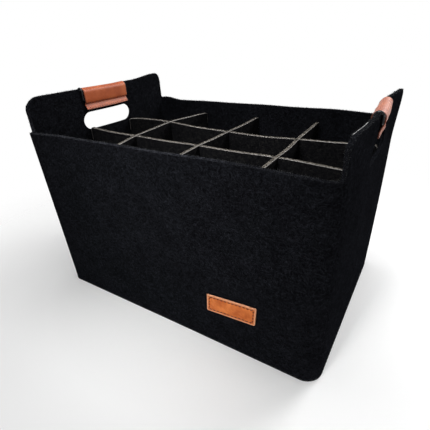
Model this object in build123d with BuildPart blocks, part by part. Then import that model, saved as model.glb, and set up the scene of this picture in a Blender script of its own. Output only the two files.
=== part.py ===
from build123d import *

import os
from math import atan, cos, radians, sin

# Soft felt carrier box for bottles: a leaning felt band, a felt bottom on a board, a lift-out
# divider grid of twelve cells, and two padded leather grips over the raised ends.
# Millimetres, +Z up, +X along the front, front at -Y, origin under the middle of the base.

# Felt band
base_length = 380.0  # outside, at the foot
base_width = 256.0  # outside, at the foot
rim_height = 226.0  # front and back walls
end_height = 260.0  # raised end walls
felt = 4.0  # wall thickness
end_flare = 4.0  # each end wall leans out this far at its top
side_flare = 7.0  # front and back each lean out this far at the rim
corner_radius = 15.0  # upright corners, outside
end_shoulder_radius = 22.0  # rounded top corners of the raised ends
shoulder_inset = 8.0  # a raised end is this much narrower than the rim on each side
rim_crotch_radius = 4.0  # where a raised end meets the rim

# Hand slots
slot_length = 92.0
slot_height = 24.0
slot_drop = 32.0  # from the top of the end wall to the slot

# Bottom
base_felt = 4.0
board = 3.0
seam_gap = 0.1  # felt bottom to wall, where they are sewn
board_gap = 1.5  # the board lies loose inside the walls

# Divider grid
columns = 4
rows = 3
divider_felt = 4.0
divider_drop = 21.0  # grid's top below the rim
divider_corner_radius = 3.0
lap_gap = 0.2  # around each half-lap joint
wall_gap = 0.4  # divider ends to the walls

# Grips
grip_length = 80.0  # leather, along the wall
pad_length = 86.0  # felt pad, which shows past both ends of the leather
pad_felt = 3.0
leather = 1.2
flange_height = 9.5  # flat part that is stitched through the wall
flange_drop = 28.5  # flange's lower edge below the top of the wall
grip_rise = 1.0  # leather's crown above the top of the wall
grip_gap = 0.1  # between wall, pad and leather
pad_skirt = 2.8  # the pad stops this far above the crease of the leather

# Patch
patch_length = 60.0
patch_height = 24.5
patch_leather = 1.6
patch_corner_radius = 1.5
patch_edge_radius = 0.4
patch_centre_height = 62.0
patch_from_end = 95.0  # patch's centre from the right-hand end
patch_askew = 4.0  # degrees, as it was sewn on

# Leans of the walls, as run per unit of height
end_lean = end_flare / end_height
side_lean = side_flare / rim_height

floor_height = base_felt + board
divider_top = rim_height - divider_drop
column_pitch = (base_length - 2 * felt + divider_felt) / columns
row_pitch = (base_width - 2 * felt + divider_felt) / rows
reach = base_length + base_width  # longer than any cut through the box


def half_length(height):
    """Half of the box's outside length at a height."""
    return base_length / 2 + end_lean * height


def half_width(height):
    """Half of the box's outside width at a height."""
    return base_width / 2 + side_lean * height


def leaning_outline(half_at, low, high, inset):
    """Upright section between two heights that keeps an inset from the leaning walls.

    half_at gives the box's half size in the section's direction at a height.
    """
    foot = half_at(low) - inset
    head = half_at(high) - inset
    Polygon((-foot, low), (foot, low), (head, high), (-head, high), align=None)


def leaning_block(inset):
    """Block from the foot to the top of the ends, with leaning sides and rounded corners."""
    with BuildPart() as block:
        with BuildSketch(Plane.XZ):
            leaning_outline(half_length, 0, end_height, inset)
        extrude(amount=reach, both=True)
        with BuildSketch(Plane.YZ):
            leaning_outline(half_width, 0, end_height, inset)
        extrude(amount=reach, both=True, mode=Mode.INTERSECT)
        uprights = block.edges().filter_by(lambda edge: abs(edge.tangent_at(0.5).Z) > 0.9)
        fillet(uprights, corner_radius - inset)
    return block.part


def floor_outline(height, inset):
    """Rounded plan of what lies on the bottom, at an inset from the walls' outside."""
    RectangleRounded(
        2 * (half_length(height) - inset), 2 * (half_width(height) - inset), corner_radius - inset
    )


# Felt band: leaning walls, cut to the profile that rises at both ends
raised_width = 2 * (half_width(rim_height) - shoulder_inset)
pad_notch_depth = leather + pad_felt + 2 * grip_gap - grip_rise
slot_centre_height = end_height - slot_drop - slot_height / 2

with BuildPart() as side_band:
    add(leaning_block(0))
    add(leaning_block(felt), mode=Mode.SUBTRACT)
    with BuildSketch(Plane.YZ) as end_profile:
        Rectangle(reach, rim_height, align=(Align.CENTER, Align.MIN))
        Rectangle(raised_width, end_height, align=(Align.CENTER, Align.MIN))
        corners = end_profile.vertices().group_by(Axis.Y)
        fillet(corners[-1], end_shoulder_radius)
        crotches = end_profile.vertices().filter_by(
            lambda v: abs(v.Y - rim_height) < 0.01 and abs(v.X) < half_width(rim_height)
        )
        fillet(crotches, rim_crotch_radius)
    extrude(amount=reach, both=True, mode=Mode.INTERSECT)
    with BuildSketch(Plane.YZ):
        with Locations((0, slot_centre_height)):
            SlotOverall(slot_length, slot_height)
        with Locations((0, end_height)):
            Rectangle(pad_length + 2 * grip_gap, 2 * pad_notch_depth)
    extrude(amount=reach, both=True, mode=Mode.SUBTRACT)

# Felt bottom, sewn in between the walls
with BuildPart() as base_panel:
    with BuildSketch(Plane.XY):
        floor_outline(0, felt + seam_gap)
    extrude(amount=base_felt)

# Stiff board that lies on the felt bottom
with BuildPart() as base_board:
    with BuildSketch(Plane.XY.offset(base_felt)):
        floor_outline(base_felt, felt + board_gap)
    extrude(amount=board)


def divider(plane, half_at, crossings, open_at_top):
    """Felt divider that stands on the board, its ends following the walls' lean.

    half_at is as in leaning_outline. crossings are the places of the dividers it laps with, and its
    slots are open at the top or at the bottom.
    """
    middle = (floor_height + divider_top) / 2
    slot_width = divider_felt + 2 * lap_gap
    slot_end = Align.MIN if open_at_top else Align.MAX
    slot_start = middle - lap_gap if open_at_top else middle + lap_gap
    with BuildPart() as panel:
        with BuildSketch(plane):
            leaning_outline(half_at, floor_height, divider_top, felt + wall_gap)
            with Locations(*[(place, slot_start) for place in crossings]):
                Rectangle(slot_width, divider_top, align=(Align.CENTER, slot_end), mode=Mode.SUBTRACT)
        extrude(amount=divider_felt / 2, both=True)
        across = Axis(plane.origin, plane.z_dir)
        top_corners = panel.edges().filter_by(across).group_by(Axis.Z)[-1]
        outer_corners = top_corners.sort_by(Axis(plane.origin, plane.x_dir))
        fillet([outer_corners[0], outer_corners[-1]], divider_corner_radius)
    return panel.part


column_places = [(i + 1 - columns / 2) * column_pitch for i in range(columns - 1)]
row_places = [(i + 1 - rows / 2) * row_pitch for i in range(rows - 1)]

dividers = {}
for name, y in zip(("front", "back"), row_places):
    dividers[f"long_divider_{name}"] = divider(Plane.XZ.offset(-y), half_length, column_places, True)
for name, x in zip(("left", "centre", "right"), column_places):
    dividers[f"cross_divider_{name}"] = divider(Plane.YZ.offset(x), half_width, row_places, False)

# Section of a grip, across the wall: local x points outwards and local y up the leaning wall
lean_angle = atan(end_lean)
wall_half = felt * cos(lean_angle) / 2
hug = wall_half + grip_gap  # wall's middle to the leather's inside at the flange
belly = wall_half + pad_felt + 2 * grip_gap  # and at the padded roll
ease_angle = 60.0
ease_radius = (belly - hug) / 2 / (1 - cos(radians(ease_angle)))
crease = flange_height - flange_drop
crown = grip_rise - leather - belly  # centre of the round crown


def roll_outline(grow):
    """Closed line round the padded roll and its flange, grown outwards from the leather's inside."""
    rise = Line((hug + grow, -flange_drop), (hug + grow, crease))
    swell = JernArc(rise @ 1, rise % 1, ease_radius - grow, -ease_angle)
    settle = JernArc(swell @ 1, swell % 1, ease_radius + grow, ease_angle)
    flank = Line(settle @ 1, (belly + grow, crown))
    JernArc(flank @ 1, flank % 1, belly + grow, 90)
    mirror(about=Plane.YZ)
    Line((-hug - grow, -flange_drop), (hug + grow, -flange_drop))


def grip_plane(side):
    """Plane across an end wall, with its origin in the middle of the wall's top edge."""
    top = (side * (half_length(end_height) - felt / 2), 0, end_height)
    outwards = (side * cos(lean_angle), 0, -sin(lean_angle))
    return Plane(origin=top, x_dir=outwards, z_dir=(0, -side, 0))


def grip_pad(side):
    """Felt strip folded over the wall, with its lower edges thinned towards the leather's crease."""
    with BuildPart() as pad:
        with BuildSketch(grip_plane(side)):
            with BuildLine():
                roll_outline(-grip_gap)
            make_face()
            with Locations((0, crease + pad_skirt)):
                Rectangle(reach, reach, align=(Align.CENTER, Align.MAX), mode=Mode.SUBTRACT)
            with Locations((0, grip_gap - pad_notch_depth)):
                Rectangle(2 * hug, reach, align=(Align.CENTER, Align.MAX), mode=Mode.SUBTRACT)
        extrude(amount=pad_length / 2, both=True)
    return pad.part


def grip_leather(side):
    """Leather sheet wrapped over the pad, closed by a flat flange on each face of the wall."""
    with BuildPart() as wrap:
        with BuildSketch(grip_plane(side)):
            with BuildLine():
                roll_outline(leather)
            make_face()
            with BuildLine():
                roll_outline(0)
            make_face(mode=Mode.SUBTRACT)
        extrude(amount=grip_length / 2, both=True)
    return wrap.part


grips = {}
for name, side in (("left", -1), ("right", 1)):
    grips[f"{name}_grip_pad"] = grip_pad(side)
    grips[f"{name}_grip_leather"] = grip_leather(side)

# Leather patch on the leaning front wall
front_angle = atan(side_lean)
patch_place = (half_length(0) - patch_from_end, -half_width(patch_centre_height), patch_centre_height)
front_face = Plane(origin=patch_place, x_dir=(1, 0, 0), z_dir=(0, -cos(front_angle), -sin(front_angle)))

with BuildPart() as front_patch:
    with BuildSketch(front_face):
        RectangleRounded(patch_length, patch_height, patch_corner_radius, rotation=patch_askew)
    extrude(amount=patch_leather)
    fillet(front_patch.faces().sort_by(Axis.Y)[0].edges(), patch_edge_radius)

# One STEP file per piece
pieces = {
    "side_band": side_band.part,
    "base_panel": base_panel.part,
    "base_board": base_board.part,
    "front_patch": front_patch.part,
    **dividers,
    **grips,
}
os.makedirs("parts", exist_ok=True)
for name, solid in pieces.items():
    solid.label = name
    export_step(solid, f"parts/{name}.step")
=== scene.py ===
import math

import bmesh
import bpy
import numpy as np
from mathutils import Matrix, Vector


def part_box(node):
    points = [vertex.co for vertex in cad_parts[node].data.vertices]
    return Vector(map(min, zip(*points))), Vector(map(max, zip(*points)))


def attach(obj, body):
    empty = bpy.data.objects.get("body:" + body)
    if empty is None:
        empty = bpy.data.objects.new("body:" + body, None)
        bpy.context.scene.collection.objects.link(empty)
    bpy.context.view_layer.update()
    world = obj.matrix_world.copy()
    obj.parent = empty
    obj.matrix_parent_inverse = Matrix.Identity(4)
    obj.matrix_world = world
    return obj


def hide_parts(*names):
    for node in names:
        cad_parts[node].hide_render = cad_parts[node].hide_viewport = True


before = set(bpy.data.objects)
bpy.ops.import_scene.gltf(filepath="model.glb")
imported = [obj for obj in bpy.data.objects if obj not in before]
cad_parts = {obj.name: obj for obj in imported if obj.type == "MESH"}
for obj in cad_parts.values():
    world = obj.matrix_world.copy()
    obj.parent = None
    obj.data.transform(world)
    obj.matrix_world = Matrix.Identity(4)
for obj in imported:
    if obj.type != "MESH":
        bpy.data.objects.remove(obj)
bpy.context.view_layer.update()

# Felt bottle carrier: looks for the band, the divider grid, the grips and the patch.
# Sizes are in millimetres up to the moment when a mesh is made.

mm = 0.001
rng = np.random.default_rng(12)


def boxOf(node):  # lowest and highest corner of a node, in mm
    low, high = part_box(node)
    return np.array(low) / mm, np.array(high) / mm


# Materials

def linear(hexColour):  # sRGB hex to linear light, with alpha 1
    parts = [int(hexColour[i:i + 2], 16) / 255 for i in (1, 3, 5)]
    return [c / 12.92 if c <= 0.04045 else ((c + 0.055) / 1.055) ** 2.4 for c in parts] + [1.0]


# Adds a node to a material or to the world. inputs are values, or the sockets that feed them. stops are a
# colour ramp's places with their hex colours. The rest are the node's own settings.
def addNode(owner, kind, inputs=None, stops=(), **settings):
    node = owner.node_tree.nodes.new("ShaderNode" + kind)
    for key, value in settings.items():
        setattr(node, key, value)
    for key, value in (inputs or {}).items():
        if isinstance(value, bpy.types.NodeSocket):
            owner.node_tree.links.new(value, node.inputs[key])
        else:
            node.inputs[key].default_value = value
    if stops:
        elements = node.color_ramp.elements
        while len(elements) < len(stops):
            elements.new(0.5)
        for element, (place, colour) in zip(elements, stops):
            element.position = place
            element.color = linear(colour)
    return node


def newMaterial(name, **shaderValues):  # with its shader, and the coordinates that its patterns read
    material = bpy.data.materials.new(name)
    material.use_nodes = True
    shader = material.node_tree.nodes["Principled BSDF"]
    for key, value in shaderValues.items():
        shader.inputs[key.replace("_", " ")].default_value = value
    return material, shader, addNode(material, "TexCoord").outputs["Object"]


def perMm(size):  # noise scale on Object coordinates, in metres, for a feature of that size in mm
    return 1 / (size * mm)


def link(material, shader, colour, bump=None):  # to the shader
    material.node_tree.links.new(colour, shader.inputs["Base Color"])
    if bump:
        material.node_tree.links.new(bump.outputs["Normal"], shader.inputs["Normal"])


feltLook = dict(
    dark="#09090b", middle="#131417", light="#212227", edgeDark="#111215", edgeLight="#313237",
    fleckSize=6.0, cloudSize=34.0, fibreSize=1.3, bump=0.7,
)
dividerLook = dict(
    dark="#0c0c0d", middle="#151517", light="#262523", edgeDark="#26241f", edgeLight="#77716a",
    fleckSize=5.0, cloudSize=30.0, fibreSize=1.5, bump=0.6,
)
padLook = dict(
    dark="#08080a", middle="#0f1012", light="#18191c", edgeDark="#17181b", edgeLight="#4a4b50",
    fleckSize=5.0, cloudSize=20.0, fibreSize=1.5, bump=0.5,
)
# What all three felts share: sizes in mm, and how much of the tone and of the height each pattern gives
feltMake = dict(
    swirlSize=11.0, swirlReach=12.0, raggedSize=3.2, bumpDepth=0.8, alongFibre=0.3,
    cloudShare=0.1, fleckShare=0.18, fibreShare=0.72, fibreHeight=0.6,
)


# Needle punched polyester felt, dyed black: no weave, tangled fibres, cloudy and very matt. Its cut edges
# are ragged and lighter, where loose fibres catch the light. Real fibres are finer than a pixel, so
# they are drawn as coarse as fibreSize. Their coordinates shrink to alongFibre lengthwise, which draws them
# that much longer than wide.
def makeFelt(name, look):
    material, shader, place = newMaterial(name, Roughness=1.0, Specular_IOR_Level=0.0)
    cloud = addNode(material, "TexNoise", {
        "Vector": place, "Scale": perMm(look["cloudSize"]), "Detail": 3.0, "Roughness": 0.6})
    fleck = addNode(material, "TexNoise", {
        "Vector": place, "Scale": perMm(look["fleckSize"]), "Detail": 5.0, "Roughness": 0.65,
        "Distortion": 1.2})
    swirl = addNode(material, "TexNoise", {
        "Vector": place, "Scale": perMm(feltMake["swirlSize"]), "Detail": 2.0})
    tangle = addNode(material, "VectorMath", {
        0: swirl.outputs["Color"], 1: [feltMake["swirlReach"] * mm] * 3, 2: place}, operation="MULTIPLY_ADD")
    strands = []
    along = feltMake["alongFibre"]
    for stretch in ((1.0, 1.0, along), (along, along, 1.0)):  # upright fibres, then level ones
        laid = addNode(material, "Mapping", {"Vector": tangle.outputs[0], "Scale": stretch})
        strand = addNode(material, "TexNoise", {
            "Vector": laid.outputs[0], "Scale": perMm(look["fibreSize"]), "Detail": 3.0, "Roughness": 0.7})
        strands.append(strand.outputs["Fac"])
    fibre = addNode(material, "Math", {0: strands[0], 1: strands[1]}, operation="MAXIMUM").outputs[0]
    tone = addNode(material, "Math", {
        0: cloud.outputs["Fac"], 1: feltMake["cloudShare"]}, operation="MULTIPLY")
    for pattern, share in ((fleck.outputs["Fac"], feltMake["fleckShare"]), (fibre, feltMake["fibreShare"])):
        tone = addNode(material, "Math", {
            0: pattern, 1: share, 2: tone.outputs[0]}, operation="MULTIPLY_ADD")
    body = addNode(material, "ValToRGB", {"Fac": tone.outputs[0]}, [
        (0.45, look["dark"]), (0.55, look["middle"]), (0.66, look["light"])])
    ragged = addNode(material, "TexNoise", {
        "Vector": place, "Scale": perMm(feltMake["raggedSize"]), "Detail": 4.0, "Roughness": 0.75})
    edge = addNode(material, "ValToRGB", {"Fac": ragged.outputs["Fac"]}, [
        (0.42, look["edgeDark"]), (0.62, look["edgeLight"])])
    rim = addNode(material, "Attribute", attribute_name="cutEdge")
    colour = addNode(material, "Mix", {
        "Factor": rim.outputs["Fac"], "A": body.outputs["Color"], "B": edge.outputs["Color"]},
        data_type="RGBA")
    height = addNode(material, "Math", {
        0: fibre, 1: feltMake["fibreHeight"], 2: fleck.outputs["Fac"]}, operation="MULTIPLY_ADD")
    bump = addNode(material, "Bump", {
        "Strength": look["bump"], "Distance": feltMake["bumpDepth"] * mm, "Height": height.outputs[0]})
    link(material, shader, colour.outputs["Result"], bump)
    return material


# Light grey: a painted highlight on the glossy beads of the dividers' hot-cut tops
edgeLook = dict(colour="#8f8a86", shade="#3b3937", grain=1.6, roughness=0.38, bump=0.4, bumpDepth=0.3)
nubLook = dict(edgeLook, colour="#0c0d12", shade="#060608", grain=3.0, roughness=0.2)
# Near white: a painted highlight on a stretch of the band's right end
bandHighlightLook = dict(edgeLook, colour="#e2e2e2", shade="#77777a", grain=2.4, roughness=0.35)


# Felt edge cut with a hot blade: the fibres melt to a thin hard bead, a little glossy. Where the look is
# light, on the dividers' tops and the band's right end, its colour is a painted highlight; the pad's ends
# stay near black.
def makeSealedEdgeOrHighlight(name, look):
    material, shader, place = newMaterial(name, Roughness=look["roughness"])
    grain = addNode(material, "TexNoise", {
        "Vector": place, "Scale": perMm(look["grain"]), "Detail": 4.0, "Roughness": 0.7})
    colour = addNode(material, "ValToRGB", {"Fac": grain.outputs["Fac"]}, [
        (0.36, look["shade"]), (0.58, look["colour"])])
    bump = addNode(material, "Bump", {
        "Strength": look["bump"], "Distance": look["bumpDepth"] * mm, "Height": grain.outputs["Fac"]})
    link(material, shader, colour.outputs["Color"], bump)
    return material


# The grips' edge colour darkens their cut edge all round: painted shade
gripLeatherLook = dict(
    dark="#9c441a", middle="#af5223", light="#be6334", edge="#5c2a1a", grainSize=1.3, cloudSize=30.0,
    wrinkleSize=3.5, wrinkleShare=0.8, poreDepth=0.12, bump=0.14, bumpDepth=0.5,
    roughness=0.46, specular=0.42, sheen=0.28, sheenRoughness=0.4,
)
patchLeatherLook = dict(
    gripLeatherLook, dark="#b25824", middle="#c66a31", light="#d67b40", edge="#dca07c",
    grainSize=1.1, cloudSize=11.0, bump=0.3, roughness=0.6, specular=0.15, sheen=0.0,
)


# Vegetable tanned cowhide, tumbled and oiled: cloudy tan, fine pores and a soft shine. The cut edge is
# painted dark all round on the grips, a painted shade for the shadow by the leather's end. On the patch it
# is left pale, and the pale that runs a little onto the face is partly the leather's own edge and partly a
# painted highlight.
def makeLeather(name, look):
    material, shader, place = newMaterial(
        name, Roughness=look["roughness"], Specular_IOR_Level=look["specular"],
        Sheen_Weight=look["sheen"], Sheen_Roughness=look["sheenRoughness"])
    cloud = addNode(material, "TexNoise", {
        "Vector": place, "Scale": perMm(look["cloudSize"]), "Detail": 5.0, "Roughness": 0.6})
    pores = addNode(material, "TexVoronoi", {
        "Vector": place, "Scale": perMm(look["grainSize"]), "Randomness": 1.0}, feature="DISTANCE_TO_EDGE")
    wrinkle = addNode(material, "TexNoise", {
        "Vector": place, "Scale": perMm(look["wrinkleSize"]), "Detail": 6.0, "Roughness": 0.65,
        "Distortion": 1.0})
    skin = addNode(material, "ValToRGB", {"Fac": cloud.outputs["Fac"]}, [
        (0.34, look["dark"]), (0.5, look["middle"]), (0.66, look["light"])])
    rim = addNode(material, "Attribute", attribute_name="cutEdge")
    mix = addNode(material, "Mix", {
        "Factor": rim.outputs["Fac"], "A": skin.outputs["Color"], "B": linear(look["edge"])},
        data_type="RGBA")
    pore = addNode(material, "Math", {
        0: pores.outputs["Distance"], 1: look["poreDepth"]}, operation="MINIMUM")
    height = addNode(material, "Math", {
        0: wrinkle.outputs["Fac"], 1: look["wrinkleShare"], 2: pore.outputs[0]}, operation="MULTIPLY_ADD")
    bump = addNode(material, "Bump", {
        "Strength": look["bump"], "Distance": look["bumpDepth"] * mm, "Height": height.outputs[0]})
    link(material, shader, mix.outputs["Result"], bump)
    return material


threadLook = dict(
    brown=("#5e2410", "#321208"), tan=("#9a4b28", "#6c331a"), black=("#141519", "#060607"),
    roughness=0.55, twistSize=9.0, bump=0.5, bumpDepth=0.15,
)


# Bonded polyester sewing thread: twisted, slightly shiny
def makeThread(name, colour, shade):
    material, shader, place = newMaterial(name, Roughness=threadLook["roughness"])
    twist = addNode(material, "TexWave", {
        "Vector": place, "Scale": perMm(threadLook["twistSize"]), "Distortion": 2.0},
        bands_direction="DIAGONAL")
    paint = addNode(material, "ValToRGB", {"Fac": twist.outputs["Fac"]}, [(0.1, shade), (0.7, colour)])
    bump = addNode(material, "Bump", {
        "Strength": threadLook["bump"], "Distance": threadLook["bumpDepth"] * mm,
        "Height": twist.outputs["Fac"]})
    link(material, shader, paint.outputs["Color"], bump)
    return material


boardLook = dict(dark="#4a2f1d", light="#7b5436", grain=2.2, roughness=0.62, bump=0.25, bumpDepth=0.2)


# Hardboard: pressed wood fibre, brown, smooth on top, with short fibre flecks
def makeHardboard(name, look):
    material, shader, place = newMaterial(name, Roughness=look["roughness"])
    fibre = addNode(material, "TexNoise", {
        "Vector": place, "Scale": perMm(look["grain"]), "Detail": 7.0, "Roughness": 0.7, "Distortion": 1.5})
    colour = addNode(material, "ValToRGB", {"Fac": fibre.outputs["Fac"]}, [
        (0.35, look["dark"]), (0.65, look["light"])])
    bump = addNode(material, "Bump", {
        "Strength": look["bump"], "Distance": look["bumpDepth"] * mm, "Height": fibre.outputs["Fac"]})
    link(material, shader, colour.outputs["Color"], bump)
    return material


feltMaterial = makeFelt("needleFeltBlack", feltLook)
dividerMaterial = makeFelt("needleFeltFirm", dividerLook)
padMaterial = makeFelt("needleFeltPad", padLook)
sealedHighlightMaterial = makeSealedEdgeOrHighlight("hotCutFeltEdgeHighlight", edgeLook)
nubMaterial = makeSealedEdgeOrHighlight("hotCutPadEnd", nubLook)
bandHighlightMaterial = makeSealedEdgeOrHighlight("hotCutBandEdgeHighlight", bandHighlightLook)
gripLeatherMaterial = makeLeather("tannedCowhideGrip", gripLeatherLook)
patchLeatherMaterial = makeLeather("tannedCowhidePatch", patchLeatherLook)
brownThreadMaterial = makeThread("threadDarkBrown", *threadLook["brown"])
tanThreadMaterial = makeThread("threadTan", *threadLook["tan"])
blackThreadMaterial = makeThread("threadBlack", *threadLook["black"])
hardboardMaterial = makeHardboard("hardboardPressed", boardLook)
print("materials made")


# Mesh tools

def unit(vectors):  # each vector over its length
    return vectors / np.maximum(np.linalg.norm(vectors, axis=-1, keepdims=True), 1e-12)


def roundTangents(line):  # unit tangents of a closed line, from the points on either side of each
    return unit(np.roll(line, -1, 0) - np.roll(line, 1, 0))


def roundRun(line):  # how far along a closed line each point lies, and at the end its whole length
    steps = np.linalg.norm(np.roll(line, -1, 0) - line, axis=1)
    return np.concatenate([[0], np.cumsum(steps)])


def sampled(at, run, values):  # rows of values, in line between the two nearest ones along the run
    return np.stack([np.interp(at, run, column) for column in values.T], -1)


def sampledRound(at, run, values):  # the same on a closed line, which comes back to its first row
    return sampled(at, run, np.vstack([values, values[:1]]))


def easeBetween(at, knots, values):  # from each knot's value to the next along 3t^2 - 2t^3, level outside
    knots, values = np.array(knots, float), np.array(values, float)
    step = np.clip(np.searchsorted(knots, at, side="right") - 1, 0, len(knots) - 2)
    t = np.clip((at - knots[step]) / (knots[step + 1] - knots[step]), 0, 1)
    return values[step] + (values[step + 1] - values[step]) * t * t * (3 - 2 * t)


def addObject(name, data):  # an object of a mesh, a light or a camera, in the scene
    made = bpy.data.objects.new(name, data)
    bpy.context.scene.collection.objects.link(made)
    return made


# One object from points in mm and faces of four corners, welded where its patches meet
def makePiece(name, points, faces, materials, faceMaterials=None, cutEdge=None, weld=0.02):
    mesh = bpy.data.meshes.new(name)
    mesh.vertices.add(len(points))
    mesh.vertices.foreach_set("co", (points * mm).astype(np.float32).ravel())
    mesh.loops.add(faces.size)
    mesh.loops.foreach_set("vertex_index", faces.astype(np.int32).ravel())
    mesh.polygons.add(len(faces))
    mesh.polygons.foreach_set("loop_start", np.arange(0, faces.size, 4, dtype=np.int32))
    mesh.update(calc_edges=True)
    for material in materials:
        mesh.materials.append(material)
    if faceMaterials is not None:
        mesh.polygons.foreach_set("material_index", faceMaterials.astype(np.int32))
    if cutEdge is not None:
        layer = mesh.attributes.new("cutEdge", "FLOAT", "POINT")
        layer.data.foreach_set("value", cutEdge.astype(np.float32))
    if weld:
        work = bmesh.new()
        work.from_mesh(mesh)
        bmesh.ops.remove_doubles(work, verts=work.verts, dist=weld * mm)
        bmesh.ops.dissolve_degenerate(work, edges=work.edges, dist=0.001 * mm)
        work.to_mesh(mesh)
        work.free()
    mesh.polygons.foreach_set("use_smooth", np.ones(len(mesh.polygons), bool))
    mesh.validate()
    mesh.update()
    return addObject(name, mesh)


# Corners of the cells of a grid of points, row by row, without the cells that follow a row in skipAfter
def gridFaces(rows, columns, closed=False, skipAfter=()):
    across = columns if closed else columns - 1
    r, c = np.meshgrid(np.arange(rows - 1), np.arange(across), indexing="ij")
    keep = ~np.isin(r, list(skipAfter))
    r, c = r[keep], c[keep]
    nextC = (c + 1) % columns
    here, above = r * columns, (r + 1) * columns
    return np.stack([here + c, here + nextC, above + nextC, above + c], 1)


# A soft sheet with rounded edges. middle and normal are grids of points and of unit normals. The two faces
# lie half the thickness either side of the middle. Round each loop, a list of (row, column) with the
# material on its right, the edge goes from one face to the other along a flattened half ellipse that
# stands out by bulge: sin(a) ** square outwards, cos(a) ** square across. A bead raises the edge a little
# along both of its corners, by a bell curve of the angle a about beadAt. Gives points, faces, and for each
# face 0 for the two sides, or the step round the edge from 1.
def thickSheet(middle, normal, thickness, bulge, loops, closed=False, skipAfter=(), steps=8, square=0.6,
               bead=0.0, beadAt=0.55, beadWidth=0.3):
    rows, columns = middle.shape[:2]
    half = thickness / 2
    points = [(middle + normal * half).reshape(-1, 3), (middle - normal * half).reshape(-1, 3)]
    side = gridFaces(rows, columns, closed, skipAfter)
    faces = [side, side[:, ::-1] + rows * columns]
    tags = [np.zeros(2 * len(side), int)]
    angles = np.linspace(0, math.pi, steps + 1)
    out = np.sin(angles) ** square * bulge
    across = np.sign(np.cos(angles)) * np.abs(np.cos(angles)) ** square * half
    across[steps // 2] = 0
    for corner in (beadAt, math.pi - beadAt):
        out += bead * np.exp(-((angles - corner) / beadWidth) ** 2)
    start = 2 * rows * columns
    for loop in loops:
        r, c = np.array(loop).T
        line, lineNormal = middle[r, c], normal[r, c]
        away = unit(np.cross(lineNormal, roundTangents(line)))
        strip = line[None] + lineNormal[None] * across[:, None, None] + away[None] * out[:, None, None]
        strip[0] = line + lineNormal * half
        strip[-1] = line - lineNormal * half
        points.append(strip.reshape(-1, 3))
        stripFaces = gridFaces(steps + 1, len(line), True)
        faces.append(stripFaces + start)
        tags.append(stripFaces[:, 0] // len(line) + 1)
        start += strip.shape[0] * strip.shape[1]
    return np.concatenate(points), np.concatenate(faces), np.concatenate(tags)


def sheetLoop(rows, columns):  # the edge of an open grid, with the material on its right
    top = [(rows - 1, c) for c in range(columns)]
    right = [(r, columns - 1) for r in range(rows - 2, -1, -1)]
    bottom = [(0, c) for c in range(columns - 2, -1, -1)]
    left = [(r, 0) for r in range(1, rows - 1)]
    return top + right + bottom + left


def finishPiece(piece, slotName, *nodes):  # nodes are the solids that it is shown for
    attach(piece, "root")
    if nodes:
        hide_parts(*nodes)
    return piece


# Felt band

band = dict(
    thickness=4.0, endFlare=4.0, sideFlare=7.0, rimHeight=226.0, footRadius=18.0, rimRadius=13.0,
    shoulderRadius=21.0, nearRightShoulder=12.0, farLeftShoulder=10.0, shoulderInset=8.0, crotchRadius=4.0,
    slotLength=92.0, slotHeight=24.0, slotMiddle=216.0, notchHalf=43.1, notchDepth=3.4, edgeBulge=0.9,
)
# How the soft wall departs from its flat shape, in mm. spreadFrom and droopsFrom are shares of the way from
# the middle to an end, and spreadFades is in how far a wall faces the back. Waves and turns are in radians,
# from the middle to an end, and a rise is the height in mm that adds one radian.
softness = dict(
    frontBow=1.6, endBow=1.0, backRightBow=1.2, seamDent=0.7, seamWidth=0.9,
    rimSag=0.6, backSag=2.4, frontDroop=3.0, backRightDroop=6.0, droopsFrom=0.6, droopPower=1.5,
    cornerPull=4.4, cornerPullAtFoot=3.3, pullGrowsTo=30,
    footSpread=1.6, spreadFrom=0.2, spreadFades=(0.4, 0.9), spreadAtFront=0.6, spreadTop=190,
    ripple=0.5, longWave=5.1, longRise=47, faceTurn=1.7,
    shortWave=9.3, shortRise=31, shortTurn=2.0, shortShare=0.6,
    rimRipple=0.6, rimWave=7.3, rimFaceTurn=2, rimSlowWave=3.1, rimTurn=0.6,
)
halfLengthTop, halfWidthRim, endHeight = boxOf("side_band")[1]

# How the raised ends have settled in use, in mm: heights and places along the wall, then the moves there
endSettling = dict(
    startsAt=150.0, fullAt=182.0,
    rightHeights=(200, 222, 231.5, 241, 262), rightLift=(0, 0.5, 1.0, -0.6, -4.6),
    rightAlong=(-127, -80, -43, 0, 35, 80, 112), rightLean=(-2.0, 1.0, 2.5, 0.3, -3.2, 0.2, 2.8),
    leanHeights=(190, 246), dipAlong=(-127, -100, -62, -47), dip=(2.0, 1.4, 1.0, 0), dipHeights=(236, 256),
    leftHeights=(190, 206, 226, 232, 240, 262), leftShare=(0, 0.8, 0.5, 1.05, 0.2, 1),
    leftAlong=(-127, -100, -50, 10, 60, 112), leftLift=(1.0, 1.8, 2.0, 1.8, 3.2, 7.6),
)


# The raised ends aren't stiff: the right one has sunk and waves along its top, the left one is pulled up
# towards the back. Moves grow from nothing at startsAt along the box to the whole at fullAt.
def settle(points):
    x, y, z = points[..., 0], points[..., 1], points[..., 2]
    how = endSettling
    right = easeBetween(x, (how["startsAt"], how["fullAt"]), (0, 1))
    left = easeBetween(-x, (how["startsAt"], how["fullAt"]), (0, 1))
    lean = easeBetween(y, how["rightAlong"], how["rightLean"]) * easeBetween(z, how["leanHeights"], (0, 1))
    lift = easeBetween(z, how["rightHeights"], how["rightLift"])
    lift = lift - easeBetween(y, how["dipAlong"], how["dip"]) * easeBetween(z, how["dipHeights"], (0, 1))
    lift = lift * right
    lift = lift + left * easeBetween(z, how["leftHeights"], how["leftShare"]) * easeBetween(
        y, how["leftAlong"], how["leftLift"])
    return np.stack([x + right * lean, y, z + lift], -1)


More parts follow.
